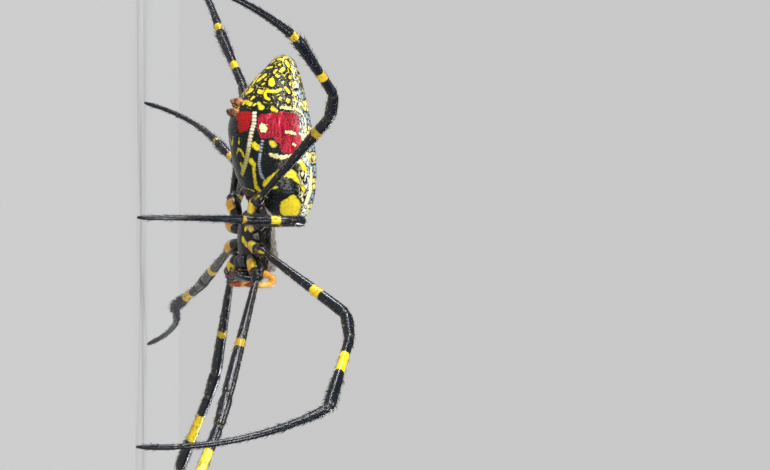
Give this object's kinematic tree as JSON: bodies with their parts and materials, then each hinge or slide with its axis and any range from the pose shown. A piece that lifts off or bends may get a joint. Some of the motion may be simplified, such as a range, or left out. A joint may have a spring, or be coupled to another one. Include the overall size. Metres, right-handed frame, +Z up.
{
  "type": "golden silk orb weaver",
  "caption": "Still, life-size model of a female golden silk orb weaver spider with a large patterned abdomen and long banded legs, standing on its leg tips.",
  "frame": {"origin": "middle of the rectangle that the spider covers, on the floor under its claws", "axes": "+Z up from the floor, -Y the way the spider faces, +X to the spider's left"},
  "size_m": [0.0748, 0.0778, 0.0203],
  "materials": {
    "abdomen_skin": "taut glossy skin, yellow and black net pattern with red flank patches",
    "carapace_hair": "dark cuticle under short silvery down",
    "jaw_cuticle": "polished blue-black cuticle",
    "leg_cuticle": "glossy black cuticle with yellow bands and fine bristles",
    "palp_cuticle": "satin orange cuticle with dark tips"
  },
  "bodies": {
    "root": {"abdomen": "abdomen_skin", "cephalothorax": "carapace_hair", "chelicera_left": "jaw_cuticle", "chelicera_right": "jaw_cuticle", "leg_left_1_coxa": "leg_cuticle", "leg_left_1_femur": "leg_cuticle", "leg_left_1_foot": "leg_cuticle", "leg_left_1_tibia": "leg_cuticle", "leg_left_2_coxa": "leg_cuticle", "leg_left_2_femur": "leg_cuticle", "leg_left_2_foot": "leg_cuticle", "leg_left_2_tibia": "leg_cuticle", "leg_left_3_coxa": "leg_cuticle", "leg_left_3_femur": "leg_cuticle", "leg_left_3_foot": "leg_cuticle", "leg_left_3_tibia": "leg_cuticle", "leg_left_4_coxa": "leg_cuticle", "leg_left_4_femur": "leg_cuticle", "leg_left_4_foot": "leg_cuticle", "leg_left_4_tibia": "leg_cuticle", "leg_right_1_coxa": "leg_cuticle", "leg_right_1_femur": "leg_cuticle", "leg_right_1_foot": "leg_cuticle", "leg_right_1_tibia": "leg_cuticle", "leg_right_2_coxa": "leg_cuticle", "leg_right_2_femur": "leg_cuticle", "leg_right_2_foot": "leg_cuticle", "leg_right_2_tibia": "leg_cuticle", "leg_right_3_coxa": "leg_cuticle", "leg_right_3_femur": "leg_cuticle", "leg_right_3_foot": "leg_cuticle", "leg_right_3_tibia": "leg_cuticle", "leg_right_4_coxa": "leg_cuticle", "leg_right_4_femur": "leg_cuticle", "leg_right_4_foot": "leg_cuticle", "leg_right_4_tibia": "leg_cuticle", "palp_left": "palp_cuticle", "palp_right": "palp_cuticle"}
  },
  "joints": []
}
